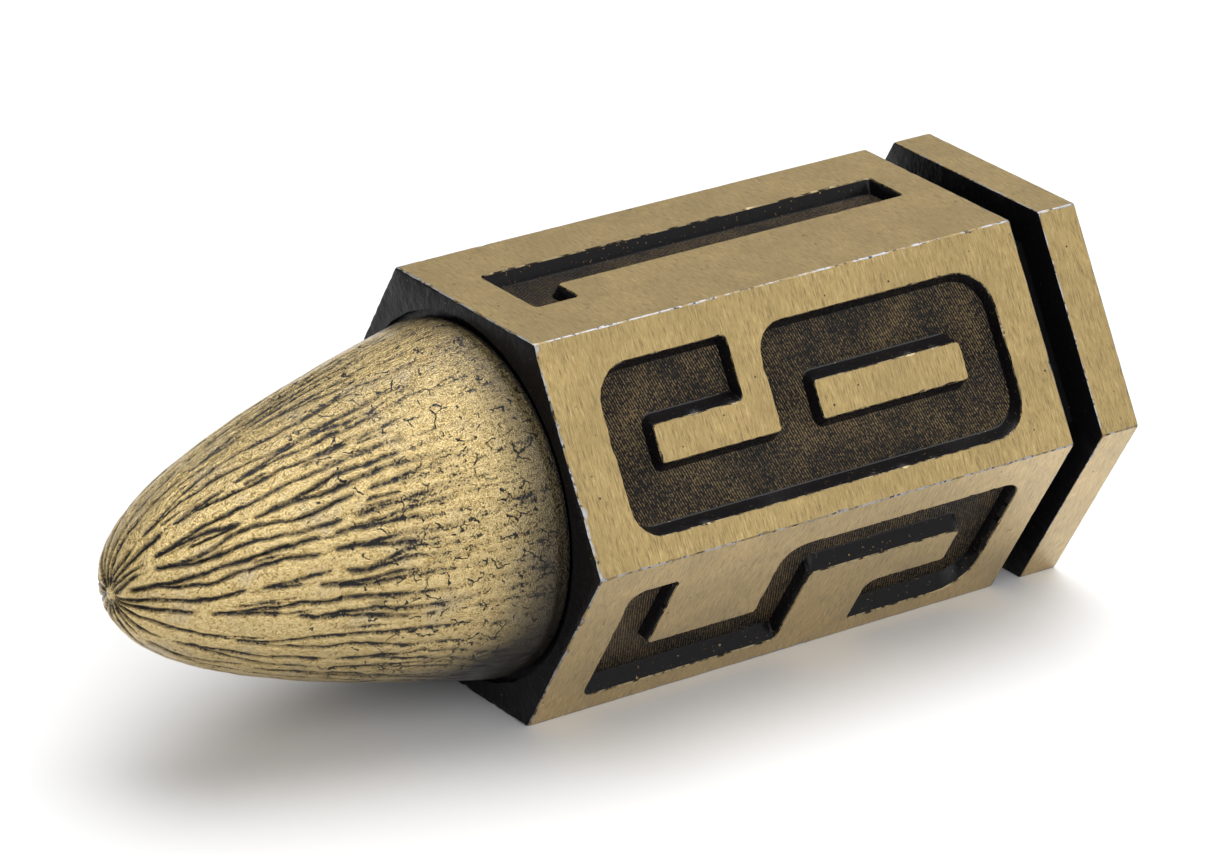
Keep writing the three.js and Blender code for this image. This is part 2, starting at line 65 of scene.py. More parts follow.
# Numerals, in units of one side of the hexagon, read with the nose up: x to the right, y down from the
# front edge. Each corner is (x, y, radius).
LEFT, LEFT_IN, RIGHT_IN, RIGHT = 0.11, 0.39, 0.56, 0.84
TOP, TOP_IN = 0.24, 0.46
MIDDLE, MIDDLE_IN = 1.06, 1.285
BASE_IN, BASE = 2.066, 2.3
HOOK_HIGH, HOOK_LOW = 0.92, 1.65
ONE_LEFT, ONE_STEM, ONE_RIGHT = 0.32, 0.48, 0.72
FIVE_LEFT, FIVE_HOOK, FIVE_INNER, FIVE_RIGHT = LEFT - 0.01, 0.36, RIGHT_IN + 0.01, RIGHT - 0.02
FIVE_TOP_IN, FIVE_WAIST, FIVE_WAIST_IN = 0.47, 1.035, 1.255
SIX_TOP_IN, SIX_MIDDLE = TOP_IN - 0.01, MIDDLE + 0.01
THREE_NOTCH = 0.3
CRISP, SOFT, BENT, ROUND, FULL, WIDE = 0.022, 0.06, 0.1, 0.135, 0.17, 0.18

# Recess walls, in millimetres.
NUMERAL_DEPTH = 0.9
WALL_SLOPE, WALL_LEAN, END_WALL_SLOPE = 0.5, 0.17, 0.12
RIM_SPREAD, RIM_DROP = 0.05, 0.07
FILLET = ((0.9, 0.1), (0.97, 0.03), (1.1, 0.0))  # share of the wall's slope and height above the floor


def five():
    return [
        (LEFT, TOP, SOFT),
        (FIVE_RIGHT, TOP, SOFT),
        (FIVE_RIGHT, FIVE_TOP_IN, CRISP),
        (LEFT_IN, FIVE_TOP_IN, CRISP),
        (LEFT_IN, FIVE_WAIST, CRISP),
        (FIVE_RIGHT, FIVE_WAIST, BENT),
        (FIVE_RIGHT, BASE, BENT),
        (FIVE_LEFT, BASE, FULL),
        (FIVE_LEFT, HOOK_LOW, CRISP),
        (FIVE_HOOK, HOOK_LOW, SOFT),
        (FIVE_HOOK, BASE_IN, CRISP),
        (FIVE_INNER, BASE_IN, CRISP),
        (FIVE_INNER, FIVE_WAIST_IN, CRISP),
        (LEFT, FIVE_WAIST_IN, CRISP),
    ]


def turned_over(corners):
    return [(x, TOP + BASE - y, radius) for x, y, radius in corners]


NUMERALS = {
    "1": [
        (ONE_LEFT, TOP, CRISP),
        (ONE_RIGHT, TOP, CRISP),
        (ONE_RIGHT, BASE, CRISP),
        (ONE_STEM, BASE, CRISP),
        (ONE_STEM, TOP_IN, CRISP),
        (ONE_LEFT, TOP_IN, CRISP),
    ],
    "6": [
        (LEFT, TOP, ROUND),
        (RIGHT, TOP, FULL),
        (RIGHT, HOOK_HIGH, CRISP),
        (RIGHT_IN, HOOK_HIGH, CRISP),
        (RIGHT_IN, SIX_TOP_IN, CRISP),
        (LEFT_IN, SIX_TOP_IN, CRISP),
        (LEFT_IN, SIX_MIDDLE, CRISP),
        (RIGHT, SIX_MIDDLE, ROUND),
        (RIGHT, BASE, WIDE),
        (LEFT, BASE, FULL),
    ],
    "5": five(),
    "4": [
        (LEFT, TOP, SOFT),
        (LEFT_IN, TOP, CRISP),
        (LEFT_IN, MIDDLE, CRISP),
        (RIGHT_IN, MIDDLE, CRISP),
        (RIGHT_IN, TOP, CRISP),
        (RIGHT, TOP, SOFT),
        (RIGHT, BASE, SOFT),
        (RIGHT_IN, BASE, CRISP),
        (RIGHT_IN, MIDDLE_IN, CRISP),
        (LEFT, MIDDLE_IN, ROUND),
    ],
    "3": [
        (LEFT, TOP, ROUND),
        (RIGHT, TOP, ROUND),
        (RIGHT, BASE, ROUND),
        (LEFT, BASE, ROUND),
        (LEFT, HOOK_LOW, CRISP),
        (LEFT_IN, HOOK_LOW, CRISP),
        (LEFT_IN, BASE_IN, CRISP),
        (RIGHT_IN, BASE_IN, CRISP),
        (RIGHT_IN, MIDDLE_IN, CRISP),
        (THREE_NOTCH, MIDDLE_IN, CRISP),
        (THREE_NOTCH, MIDDLE, CRISP),
        (RIGHT_IN, MIDDLE, CRISP),
        (RIGHT_IN, TOP_IN, CRISP),
        (LEFT_IN, TOP_IN, CRISP),
        (LEFT_IN, HOOK_HIGH, CRISP),
        (LEFT, HOOK_HIGH, CRISP),
    ],
    "2": turned_over(five()),
}
ISLANDS = {
    "6": [
        (LEFT_IN, MIDDLE_IN, CRISP),
        (RIGHT_IN, MIDDLE_IN, CRISP),
        (RIGHT_IN, BASE_IN, CRISP),
        (LEFT_IN, BASE_IN, CRISP),
    ],
}
DIGIT_ORDER = "165432"  # from the top round towards -Y

HATCH_PITCH = 0.17
HATCH_SLANT = math.radians(17)

# How finely outlines are divided, and the joining of points that fall together, in millimetres.
STEP = 0.22
ARC_STEPS = 6
LEAST_BEND = 0.05
WELD = 0.002
SLIVER = 0.0005

# Worn edges, in millimetres: the least width, the slow swelling and the largest chip.
CASING_WEAR = ((0.045, 0.07, 0.16), (0.07, 0.28, 0.42), (0.05, 0.1, 0.16))  # long, front and rear edges
DIAL_WEAR = ((0.045, 0.06, 0.12), (0.05, 0.1, 0.16), (0.05, 0.08, 0.12))
RIM_WEAR = (0.0, 0.04, 0.16)
CORNER_TRIM = 0.12
RIDGE_DROP = 0.16  # how far a worn ridge sinks, as a share of its width
ROUNDING = 0.293  # where the middle of a quarter round lies, as a share of its radius
RIDGE_SEED, END_SEED, RIM_SEED = 20, 40, 60

# The rough cast front of the casing, in millimetres.
RELIEF = 0.07
RELIEF_PITCH, RELIEF_ROW = 0.45, 0.39
RELIEF_FROM_RIM, RELIEF_FROM_HOLE = 0.4, 0.25

# Places inside the casing and dial, in millimetres.
SEAT_DEPTH = 0.6
FACE_HOLE, SEAT_HOLE = 11.3, 10.9
PLATE_THICKNESS = 2.8
DOT_SIDE = 5
DOT_FROM_REAR = 1.4
DOT_POINTS = 24
DOT_RINGS = ((0.74, 0.0), (0.68, 0.06), (0.55, 0.26), (0.36, 0.4), (0.16, 0.46))  # radius and depth


# ---------------------------------------------------------------- wear and outlines


def wobble(seed, along, size):
    return noise.noise(Vector((along / size, seed * 7.31 + 0.37, 0.5)))


def wear(seed, along, least, swell, chip):
    """The width of a worn edge at a distance along it: a slow swelling, fine nicks and a few chips."""
    slow = 0.5 + 0.5 * wobble(seed, along, 3.0)
    fine = 0.5 + 0.5 * wobble(seed + 0.31, along, 0.35)
    rare = max(0.0, wobble(seed + 0.57, along, 0.7) - 0.25) / 0.75
    return least + swell * slow * fine + chip * rare


def area(corners):
    pairs = zip(corners, corners[1:] + corners[:1])
    return sum(a[0] * b[1] - b[0] * a[1] for a, b in pairs) / 2


def slope_inset(share):
    """How far each recess wall has come in at a share of its slope, by the way it faces (across, along)."""

    def inset(facing):
        across = WALL_SLOPE + WALL_LEAN * facing.x
        return share * (abs(facing.x) * across + abs(facing.y) * END_WALL_SLOPE)

    return inset


def level_inset(distance):
    return lambda facing: distance


def outline(corners, inset, side=1):
    """Points round a right-angled figure with rounded corners.

    Its walls have moved by inset(facing) towards the inside (side 1) or the outside (side -1).
    """
    scaled = [(x * SIDE, y * SIDE, radius * SIDE) for x, y, radius in corners]
    turn = 1 if area(scaled) > 0 else -1
    count = len(scaled)
    bends = []
    for i, (x, y, radius) in enumerate(scaled):
        before, after = scaled[i - 1], scaled[(i + 1) % count]
        come = Vector((x - before[0], y - before[1])).normalized()
        leave = Vector((after[0] - x, after[1] - y)).normalized()
        facings = [Vector((-way.y, way.x)) * turn * side for way in (come, leave)]
        moves = [inset(facing) for facing in facings]
        corner = Vector((x, y)) + facings[0] * moves[0] + facings[1] * moves[1]
        bends_in = (come.x * leave.y - come.y * leave.x) * turn > 0
        bend = max(LEAST_BEND, radius - side * (0.5 if bends_in else -0.5) * sum(moves))
        bends.append((corner, come, leave, bend))
    points = []
    for i, (corner, come, leave, bend) in enumerate(bends):
        start = corner - come * bend
        middle = start + leave * bend
        for step in range(ARC_STEPS + 1):
            turned = step / ARC_STEPS * math.pi / 2
            points.append(middle - leave * bend * math.cos(turned) + come * bend * math.sin(turned))
        after = scaled[(i + 1) % count]
        steps = max(1, round((math.dist(scaled[i][:2], after[:2]) - scaled[i][2] - after[2]) / STEP))
        next_corner, next_come, _, next_bend = bends[(i + 1) % count]
        end = next_corner - next_come * next_bend
        begin = points[-1]
        points += [begin.lerp(end, step / steps) for step in range(1, steps)]
    return points


# ---------------------------------------------------------------- meshes

BRUSHED, WORN, RIM, WALL, FLOOR, CAST_AND_SHADE, INNER, END = range(8)


class Skin:
    """Points and faces, in millimetres, that become one welded mesh."""

    def __init__(self):
        self.points = []
        self.places = []
        self.faces = []
        self.slots = []

    def add(self, points, places=None):
        first = len(self.points)
        self.points += [Vector(p) for p in points]
        self.places += [Vector(p) for p in places] if places else [Vector((0, 0, 0))] * len(points)
        return list(range(first, len(self.points)))

    def face(self, corners, slot):
        self.faces.append(corners)
        self.slots.append(slot)

    def strip(self, one, other, slot, closed=True):
        last = len(one) if closed else len(one) - 1
        for i in range(last):
            j = (i + 1) % len(one)
            self.face([one[i], one[j], other[j], other[i]], slot)

    def fill(self, loops, flat_points, slot, extra=()):
        """Triangles over the area inside the first loop and outside the others. extra holds more points."""
        corners = [i for loop in loops for i in loop] + list(extra)
        starts = np.cumsum([0] + [len(loop) for loop in loops])
        rings = [list(range(a, b)) for a, b in zip(starts, starts[1:])]
        flat = [Vector(flat_points[i]) for i in corners]
        found = delaunay_2d_cdt(flat, [], rings, 2, 1e-7)
        for triangle in found[2]:
            self.face([corners[found[3][i][0]] for i in triangle], slot)

    def build(self, name, materials, body, *nodes):
        mesh = bpy.data.meshes.new(name)
        mesh.from_pydata([p * MM for p in self.points], [], self.faces)
        mesh.polygons.foreach_set("material_index", self.slots)
        places = mesh.attributes.new("place", "FLOAT_VECTOR", "POINT")
        places.data.foreach_set("vector", [value * MM for place in self.places for value in place])
        finished = bmesh.new()
        finished.from_mesh(mesh)
        bmesh.ops.remove_doubles(finished, verts=finished.verts, dist=WELD * MM)
        bmesh.ops.dissolve_degenerate(finished, edges=finished.edges, dist=SLIVER * MM)
        bmesh.ops.recalc_face_normals(finished, faces=finished.faces)
        open_edges = sum(1 for edge in finished.edges if not edge.is_manifold)
        print(name, len(finished.verts), "points,", len(finished.faces), "faces,", open_edges, "open edges")
        finished.to_mesh(mesh)
        finished.free()
        mesh.set_sharp_from_angle(angle=math.radians(38))
        smooth = [polygon.material_index not in (BRUSHED, FLOOR, END) for polygon in mesh.polygons]
        mesh.polygons.foreach_set("use_smooth", smooth)
        return finish_piece(name, mesh, materials, body, *nodes)


def finish_piece(name, mesh, materials, body, *nodes):
    for material in materials:
        mesh.materials.append(material)
    piece = bpy.data.objects.new(name, mesh)
    bpy.context.scene.collection.objects.link(piece)
    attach(piece, body)
    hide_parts(*nodes)
    return piece


def face_axes(k):
    """The outward normal of side k and the direction across it. Side 0 is on top, side 1 next towards -Y."""
    angle = k * math.pi / 3
    return Vector((0, -math.sin(angle), math.cos(angle))), Vector((0, math.cos(angle), math.sin(angle)))


def on_side(k, x, across, sink=0.0):
    normal, over = face_axes(k)
    return Vector((x, 0, AXIS_Z)) + over * across + normal * (HALF_FLATS - sink)


def inner_part(skin, node, keep, black_before):
    """Adds the faces of a CAD node whose corners all pass keep(x, radius). Returns their open edges as loops.

    Faces ahead of black_before, a place on the axis, are black like the casting.
    """
    cad = bmesh.new()
    cad.from_mesh(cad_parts[node].data)
    bmesh.ops.remove_doubles(cad, verts=cad.verts, dist=0.001 * MM)

    def is_inner(face):
        places = [v.co / MM for v in face.verts]
        return all(keep(p.x, math.hypot(p.y, p.z - AXIS_Z)) for p in places)

    gone = [face for face in cad.faces if not is_inner(face)]
    bmesh.ops.delete(cad, geom=gone, context="FACES")
    cad.verts.index_update()
    indices = skin.add([v.co / MM for v in cad.verts])
    for face in cad.faces:
        nearest = min(v.co.x for v in face.verts) / MM
        skin.face([indices[v.index] for v in face.verts], CAST_AND_SHADE if nearest < black_before else INNER)
    following = {}
    for edge in cad.edges:
        if edge.is_boundary:
            loop = edge.link_loops[0]
            following[loop.vert.index] = loop.link_loop_next.vert.index
    loops = []
    while following:
        start, at = following.popitem()
        loop = [indices[start]]
        while at != start:
            loop.append(indices[at])
            at = following.pop(at)
        loops.append(loop)
    cad.free()
    return loops


class HexagonBar:
    """The six sides of a hexagonal bar with worn edges, from x0 to x1 on the axis."""

    def __init__(self, skin, x0, x1, seed, wears):
        self.skin, self.x0, self.x1, self.seed = skin, x0, x1, seed
        self.long_wear, self.front_wear, self.rear_wear = wears
        self.half = SIDE / 2
        self.steps = max(4, round(SIDE / STEP))
        self.stations = max(6, round((x1 - x0) / STEP))
        self.ends = {}
        for k in range(6):
            self.ends[k, "front"] = self.end_row(k, x0, 1, self.front_wear)
            self.ends[k, "rear"] = self.end_row(k, x1, -1, self.rear_wear)
        self.rows = {key: skin.add([on_side(key[0], *p) for p in row]) for key, row in self.ends.items()}
        self.ridges = [self.ridge(k) for k in range(6)]

    def end_row(self, k, x, sign, edge_wear):
        """Points across side k near the end at x, as far in as the edge is worn. sign is 1 at the front."""
        row = []
        for step in range(self.steps + 1):
            across = -self.half + SIDE * step / self.steps
            width = wear(self.seed + k + (0.1 if sign > 0 else 0.6), across, *edge_wear)
            across = min(max(across, -self.half + CORNER_TRIM), self.half - CORNER_TRIM)
            row.append((x + sign * width, across))
        return row

    def long_edge(self, k, side):
        """Points just inside a long edge of side k, from front to rear, with their flat positions."""
        column = 0 if side < 0 else self.steps
        front, rear = self.ends[k, "front"][column], self.ends[k, "rear"][column]
        corner = k if side < 0 else k - 1
        points = []
        for i in range(1, self.stations):
            x = front[0] + (rear[0] - front[0]) * i / self.stations
            width = wear(self.seed + RIDGE_SEED + corner % 6 + side * 0.2, x, *self.long_wear)
            points.append((x, side * (self.half - width)))
        added = self.skin.add([on_side(k, *p) for p in points])
        first, last = self.rows[k, "front"][column], self.rows[k, "rear"][column]
        return [first] + added + [last], [front] + points + [rear]

    def ridge(self, k):
        """The worn ridge between side k and the next: its two edges, with flat positions, and its crest."""
        low, low_flat = self.long_edge(k, -1)
        high, high_flat = self.long_edge((k + 1) % 6, 1)
        middle = []
        for a, b in zip(low, high):
            one, two = self.skin.points[a], self.skin.points[b]
            tip = on_side(k, (one.x + two.x) / 2, -self.half)
            away = Vector((0, tip.y, tip.z - AXIS_Z)).normalized()
            middle.append(tip - away * RIDGE_DROP * (one - two).length)
        crest = self.skin.add(middle)
        self.skin.strip(low, crest, WORN, closed=False)
        self.skin.strip(crest, high, WORN, closed=False)
        return low, low_flat, crest, high, high_flat

    def panel(self, k, recess):
        """The brushed flat of side k, left open where recess(skin, k, flat) has sunk something into it."""
        low, low_flat = self.ridges[k][:2]
        high, high_flat = self.ridges[k - 1][3:]
        front, rear = self.rows[k, "front"], self.rows[k, "rear"]
        border = front + high[1:-1] + rear[::-1] + low[1:-1][::-1]
        flat = dict(zip(front, self.ends[k, "front"]))
        flat.update(zip(high, high_flat))
        flat.update(zip(rear, self.ends[k, "rear"]))
        flat.update(zip(low, low_flat))
        holes = recess(self.skin, k, flat)
        self.skin.fill([border] + holes, flat, BRUSHED)

    def end_loop(self, name):
        """The rounded edge round one end, and the loop where it meets the end face."""
        at_front = name == "front"
        x, sign = (self.x0, 1) if at_front else (self.x1, -1)
        edge_wear = self.front_wear if at_front else self.rear_wear
        outer, rounded, inner = [], [], []
        for k in range(6):
            crest = self.ridges[k][2]
            outer += self.rows[k, name][::-1] + [crest[0 if at_front else -1]]
        for n, i in enumerate(outer):
            place = self.skin.points[i]
            out = Vector((0, place.y, place.z - AXIS_Z))
            width = wear(self.seed + END_SEED + sign * 3, n * STEP, *edge_wear)
            depth = abs(place.x - x)
            scale = 1 - ROUNDING * width / out.length
            rounded.append(Vector((x + sign * ROUNDING * depth, out.y * scale, AXIS_Z + out.z * scale)))
            scale = 1 - width / out.length
            inner.append(Vector((x, out.y * scale, AXIS_Z + out.z * scale)))
        rounded, inner = self.skin.add(rounded), self.skin.add(inner)
        self.skin.strip(outer, rounded, WORN)
        # The rounded edge is black cast at the casing's front and painted shade in the waist.
        self.skin.strip(rounded, inner, CAST_AND_SHADE)
        return inner


def hexagon_skin(skin, x0, x1, seed, wears, recess):
    """Adds a hexagonal bar without its ends. Returns its front and rear loops."""
    bar = HexagonBar(skin, x0, x1, seed, wears)
    for k in range(6):
        bar.panel(k, recess)
    return bar.end_loop("front"), bar.end_loop("rear")


def end_face(skin, loops, x, slot, relief=0.0, seed=0.0):
    """Fills an end of the bar between its outer loop and the inner ones, rough where relief is given."""
    flat = {i: (skin.points[i].y, skin.points[i].z) for loop in loops for i in loop}
    extra = []
    if relief:
        hole = max(math.hypot(y, z - AXIS_Z) for y, z in (flat[i] for i in loops[1]))
        count = int(2 * SIDE / RELIEF_PITCH)
        for row in range(count):
            for column in range(count):
                y = (column + 0.5 * (row % 2)) * RELIEF_PITCH - SIDE
                z = row * RELIEF_ROW - SIDE
                out = max(abs(y * math.cos(a) + z * math.sin(a)) for a in np.radians([90, 150, 210]))
                if out < HALF_FLATS - RELIEF_FROM_RIM and math.hypot(y, z) > hole + RELIEF_FROM_HOLE:
                    pit = 0.5 + 0.5 * noise.noise(Vector((y, z, seed)) * 1.3)
                    fine = 0.5 + 0.5 * noise.noise(Vector((y, z, seed + 3)) * 3.1)
                    extra.append(skin.add([(x + relief * (0.6 * pit + 0.4 * fine), y, z + AXIS_Z)])[0])
                    flat[extra[-1]] = (y, z + AXIS_Z)
    skin.fill(loops, flat, slot, extra)


def numeral_recess(skin, k, flat):
    """The sunk numeral of side k: a chipped rim, drafted walls, a small fillet and the floor."""
    digit = DIGIT_ORDER[k]
    figures = [(NUMERALS[digit], 1)]
    if digit in ISLANDS:
        figures.append((ISLANDS[digit], -1))
    levels = [(level_inset(-RIM_SPREAD), 0.0), (level_inset(0.0), RIM_DROP)]
    levels += [(slope_inset(share), NUMERAL_DEPTH - up) for share, up in FILLET]
    floors, rims = [], []
    for corners, direction in figures:
        loops = []
        for level, (inset, sink) in enumerate(levels):
            points = outline(corners, inset, direction)
            row = []
            for n, point in enumerate(points):
                x, across = FRONT_X + point.y, point.x - SIDE / 2
                if level == 0:
                    chip = wear(RIM_SEED + k + direction, n * STEP, *RIM_WEAR)
                    away = outward(points, n)
                    x, across = x + away.y * chip * direction, across + away.x * chip * direction
                row.append((x, across, sink))
            loops.append(skin.add([on_side(k, *p) for p in row], row))
            if level in (0, len(levels) - 1):
                flat.update(zip(loops[-1], [p[:2] for p in row]))
        for level, (upper, lower) in enumerate(zip(loops, loops[1:])):
            skin.strip(upper, lower, WALL if level else RIM)
        rims.append(loops[0])
        floors.append(loops[-1])
    skin.fill(floors, flat, FLOOR)
    for island in rims[1:]:
        skin.fill([island], flat, BRUSHED)
    return rims[:1]


def outward(points, n):
    """The direction out of a figure at its point n."""
    tangent = points[(n + 1) % len(points)] - points[n - 1]
    tangent.normalize()
    turn = 1 if area([tuple(p) for p in points]) > 0 else -1
    return Vector((tangent.y, -tangent.x)) * turn


def index_dot(skin, k, flat):
    """The small drilled index mark on one side of the dial."""
    if k != DOT_SIDE:
        return []
    middle = dial_high.x - DOT_FROM_REAR
    rings = []
    for radius, sink in DOT_RINGS:
        angles = np.linspace(0, 2 * math.pi, DOT_POINTS, endpoint=False)
        row = [(middle + radius * math.cos(a), radius * math.sin(a), sink) for a in angles]
        rings.append(skin.add([on_side(k, *p) for p in row], row))
        if not sink:
            flat.update(zip(rings[0], [p[:2] for p in row]))
    for level, (one, other) in enumerate(zip(rings, rings[1:])):
        skin.strip(one, other, WALL if level else RIM)
    skin.face(rings[-1], WALL)
    return rings[:1]


# ---------------------------------------------------------------- materials


class Nodes:
    """Adds shader nodes to a tree. Any input is a number, a colour or another node's output."""

    def __init__(self, tree):
        self.tree = tree
        tree.nodes.clear()

    def add(self, kind, settings=None, inputs=None):
        node = self.tree.nodes.new("ShaderNode" + kind)
        for name, value in (settings or {}).items():
            setattr(node, name, value)
        for name, value in (inputs or {}).items():
            if isinstance(value, bpy.types.NodeSocket):
                self.tree.links.new(value, node.inputs[name])
            else:
                node.inputs[name].default_value = value
        return node

    def steps(self, value, low, high, to_low=0.0, to_high=1.0):
        inputs = {"Value": value, "From Min": low, "From Max": high, "To Min": to_low, "To Max": to_high}
        return self.add("MapRange", {"interpolation_type": "SMOOTHSTEP"}, inputs).outputs["Result"]

    def math(self, operation, one, other=0.0):
        return self.add("Math", {"operation": operation}, {0: one, 1: other}).outputs[0]

    def sum(self, *terms):
        total = terms[0]
        for term in terms[1:]:
            total = self.math("ADD", total, term)
        return total

    def times(self, one, other):
        return self.math("MULTIPLY", one, other)

    def mix(self, share, one, other):
        return self.add("Mix", {"data_type": "RGBA"}, {0: share, 6: one, 7: other}).outputs[2]

    def blend(self, share, one, other):
        return self.add("Mix", {"data_type": "FLOAT"}, {0: share, 2: one, 3: other}).outputs[0]


class Paint(Nodes):
    """Builds one material. Scales are per metre, in the object's own coordinates."""

    def __init__(self, name):
        self.material = bpy.data.materials.new(name)
        self.material.use_nodes = True
        super().__init__(self.material.node_tree)
        self.object = self.add("TexCoord").outputs["Object"]

    def placed(self, stretch, turn=(0, 0, 0), shift=(0, 0, 0), place=None):
        inputs = {"Vector": place or self.object, "Scale": stretch, "Rotation": turn, "Location": shift}
        return self.add("Mapping", inputs=inputs).outputs["Vector"]

    def noise(self, stretch, detail, roughness, **place):
        inputs = {"Vector": self.placed(stretch, **place), "Scale": 1.0}
        inputs.update({"Detail": detail, "Roughness": roughness})
        return self.add("TexNoise", inputs=inputs).outputs["Fac"]

    def spots(self, stretch):
        """The distance to the nearest of a scatter of points."""
        inputs = {"Vector": self.placed(stretch), "Scale": 1.0}
        return self.add("TexVoronoi", inputs=inputs).outputs["Distance"]

    def crackle(self, scale, crooked):
        """The distance to the nearest border of a net of crooked cells, in cells."""
        inputs = {"Vector": self.object, "Scale": 2.1 * scale, "Detail": 3.0}
        bend = self.add("TexNoise", inputs=inputs).outputs["Color"]
        bent = self.add("VectorMath", {"operation": "MULTIPLY_ADD"}, {0: bend, 1: (crooked / scale,) * 3})
        self.tree.links.new(self.object, bent.inputs[2])
        inputs = {"Vector": bent.outputs["Vector"], "Scale": scale}
        return self.add("TexVoronoi", {"feature": "DISTANCE_TO_EDGE"}, inputs).outputs["Distance"]

    def attribute(self, name, output="Fac"):
        return self.add("Attribute", {"attribute_name": name}).outputs[output]

    def bump(self, height, distance):
        return self.add("Bump", inputs={"Height": height, "Distance": distance * MM}).outputs["Normal"]

    def finish(self, colour, metal, roughness, normal=None, shine=0.5, coat=0.0):
        inputs = {"Base Color": colour, "Metallic": metal, "Roughness": roughness}
        inputs.update({"Specular IOR Level": shine, "Coat Weight": coat, "Coat Roughness": 0.35})
        if normal:
            inputs["Normal"] = normal
        shader = self.add("BsdfPrincipled", inputs=inputs)
        self.add("OutputMaterial", inputs={"Surface": shader.outputs["BSDF"]})
        return self.material


def colour(r, g, b):
    return (r, g, b, 1.0)


GOLD = colour(0.50, 0.355, 0.13)
PALE_GOLD = colour(0.72, 0.56, 0.27)
OLIVE = colour(0.25, 0.172, 0.06)
SILVER = colour(0.33, 0.33, 0.345)
BLACK = colour(0.0045, 0.004, 0.005)


def brushed_brass(name, fine, coarse):
    """Antique brass plate with stains and pits under thin lacquer, brushed in a fine and a coarse pattern."""
    p = Paint(name)
    lines = p.noise(fine, 3, 0.7)
    crossed = p.noise(coarse, 2, 0.7, turn=(0, 0.16, 0.16), shift=(3, 1, 7))
    clouds = p.noise((330, 330, 330), 4, 0.6, shift=(9, 4, 2))
    tone = p.sum(p.times(lines, 0.65), p.times(crossed, 0.35))
    shade = p.mix(p.steps(tone, 0.36, 0.5), OLIVE, GOLD)
    shade = p.mix(p.steps(tone, 0.52, 0.66, 0.0, 0.8), shade, PALE_GOLD)
    shade = p.mix(p.steps(clouds, 0.3, 0.75, 0.35, 0.0), shade, OLIVE)
    stains = p.steps(p.noise((420, 420, 420), 2, 0.5, shift=(1, 8, 5)), 0.7, 0.78, 0.0, 0.4)
    shade = p.mix(stains, shade, colour(0.30, 0.15, 0.05))
    pits = p.steps(p.spots((700, 700, 700)), 0.07, 0.03)
    shade = p.mix(pits, shade, BLACK)
    normal = p.bump(p.math("SUBTRACT", lines, pits), 0.016)
    return p.finish(shade, 1.0, 0.42, normal, coat=1.0)


def worn_metal():
    """Bare grey metal where the plate has rubbed off, with some brass left."""
    p = Paint("worn_metal")
    left = p.steps(p.noise((900, 900, 900), 3, 0.6), 0.46, 0.6)
    dirt = p.steps(p.noise((2600, 2600, 2600), 2, 0.6, shift=(5, 2, 1)), 0.52, 0.64)
    shade = p.mix(left, SILVER, colour(0.24, 0.18, 0.09))
    shade = p.mix(dirt, shade, colour(0.06, 0.055, 0.05))
    normal = p.bump(p.noise((4000, 4000, 4000), 2, 0.5), 0.015)
    return p.finish(shade, 1.0, 0.4, normal)


def rubbed_rim():
    """The edge between plate and recess: dark brass with dirt in its nicks."""
    p = Paint("rubbed_rim")
    dirt = p.steps(p.noise((1700, 1700, 1700), 3, 0.6), 0.42, 0.6)
    shade = p.mix(dirt, colour(0.34, 0.27, 0.15), colour(0.03, 0.024, 0.018))
    return p.finish(shade, 1.0, 0.38, p.bump(dirt, 0.015))


def black_wall():
    """The satin black of the recess walls, with specks of brass."""
    p = Paint("black_wall")
    specks = p.steps(p.noise((5200, 5200, 5200), 3, 0.6), 0.66, 0.72)
    shade = p.mix(specks, BLACK, colour(0.3, 0.2, 0.09))
    normal = p.bump(p.noise((3300, 3300, 3300), 3, 0.6), 0.012)
    return p.finish(shade, specks, 0.24, normal, shine=0.18)


def hatched_floor():
    """The black recess floor: fine slanting tool lines with brass showing through on their crests."""
    p = Paint("hatched_floor")
    place = p.attribute("place", "Vector")
    lines = p.add(
        "TexWave",
        {"wave_type": "BANDS", "bands_direction": "X"},
        {
            "Vector": p.placed((1, 1, 1), turn=(0, 0, -HATCH_SLANT), place=place),
            "Scale": 2 * math.pi / (20 * HATCH_PITCH * MM),
            "Distortion": 1.2,
            "Detail": 2.0,
            "Detail Scale": 0.4,
        },
    ).outputs["Fac"]
    grain = p.noise((6500, 6500, 6500), 3, 0.7)
    patches = p.noise((260, 260, 260), 3, 0.6, shift=(2, 7, 1))
    show = p.sum(p.times(lines, 0.2), grain, p.times(patches, 0.4))
    specks = p.steps(show, 0.78, 1.0, 0.0, 0.75)
    shade = p.mix(specks, BLACK, colour(0.36, 0.25, 0.12))
    normal = p.bump(p.sum(lines, p.times(grain, 0.3)), 0.08)
    return p.finish(shade, p.times(specks, 0.9), 0.3, normal, shine=0.32)


def black_cast_and_shade():
    """The rough black cast front end of the casing; the same black on the faces round the waist is painted
    shade.
    """
    p = Paint("black_cast_and_shade")
    specks = p.steps(p.noise((3800, 3800, 3800), 4, 0.65), 0.66, 0.72)
    shade = p.mix(specks, BLACK, colour(0.2, 0.13, 0.06))
    rough = p.sum(p.noise((1500, 1500, 1500), 4, 0.6), p.noise((420, 420, 420), 2, 0.5))
    return p.finish(shade, specks, 0.36, p.bump(rough, 0.08), shine=0.15)


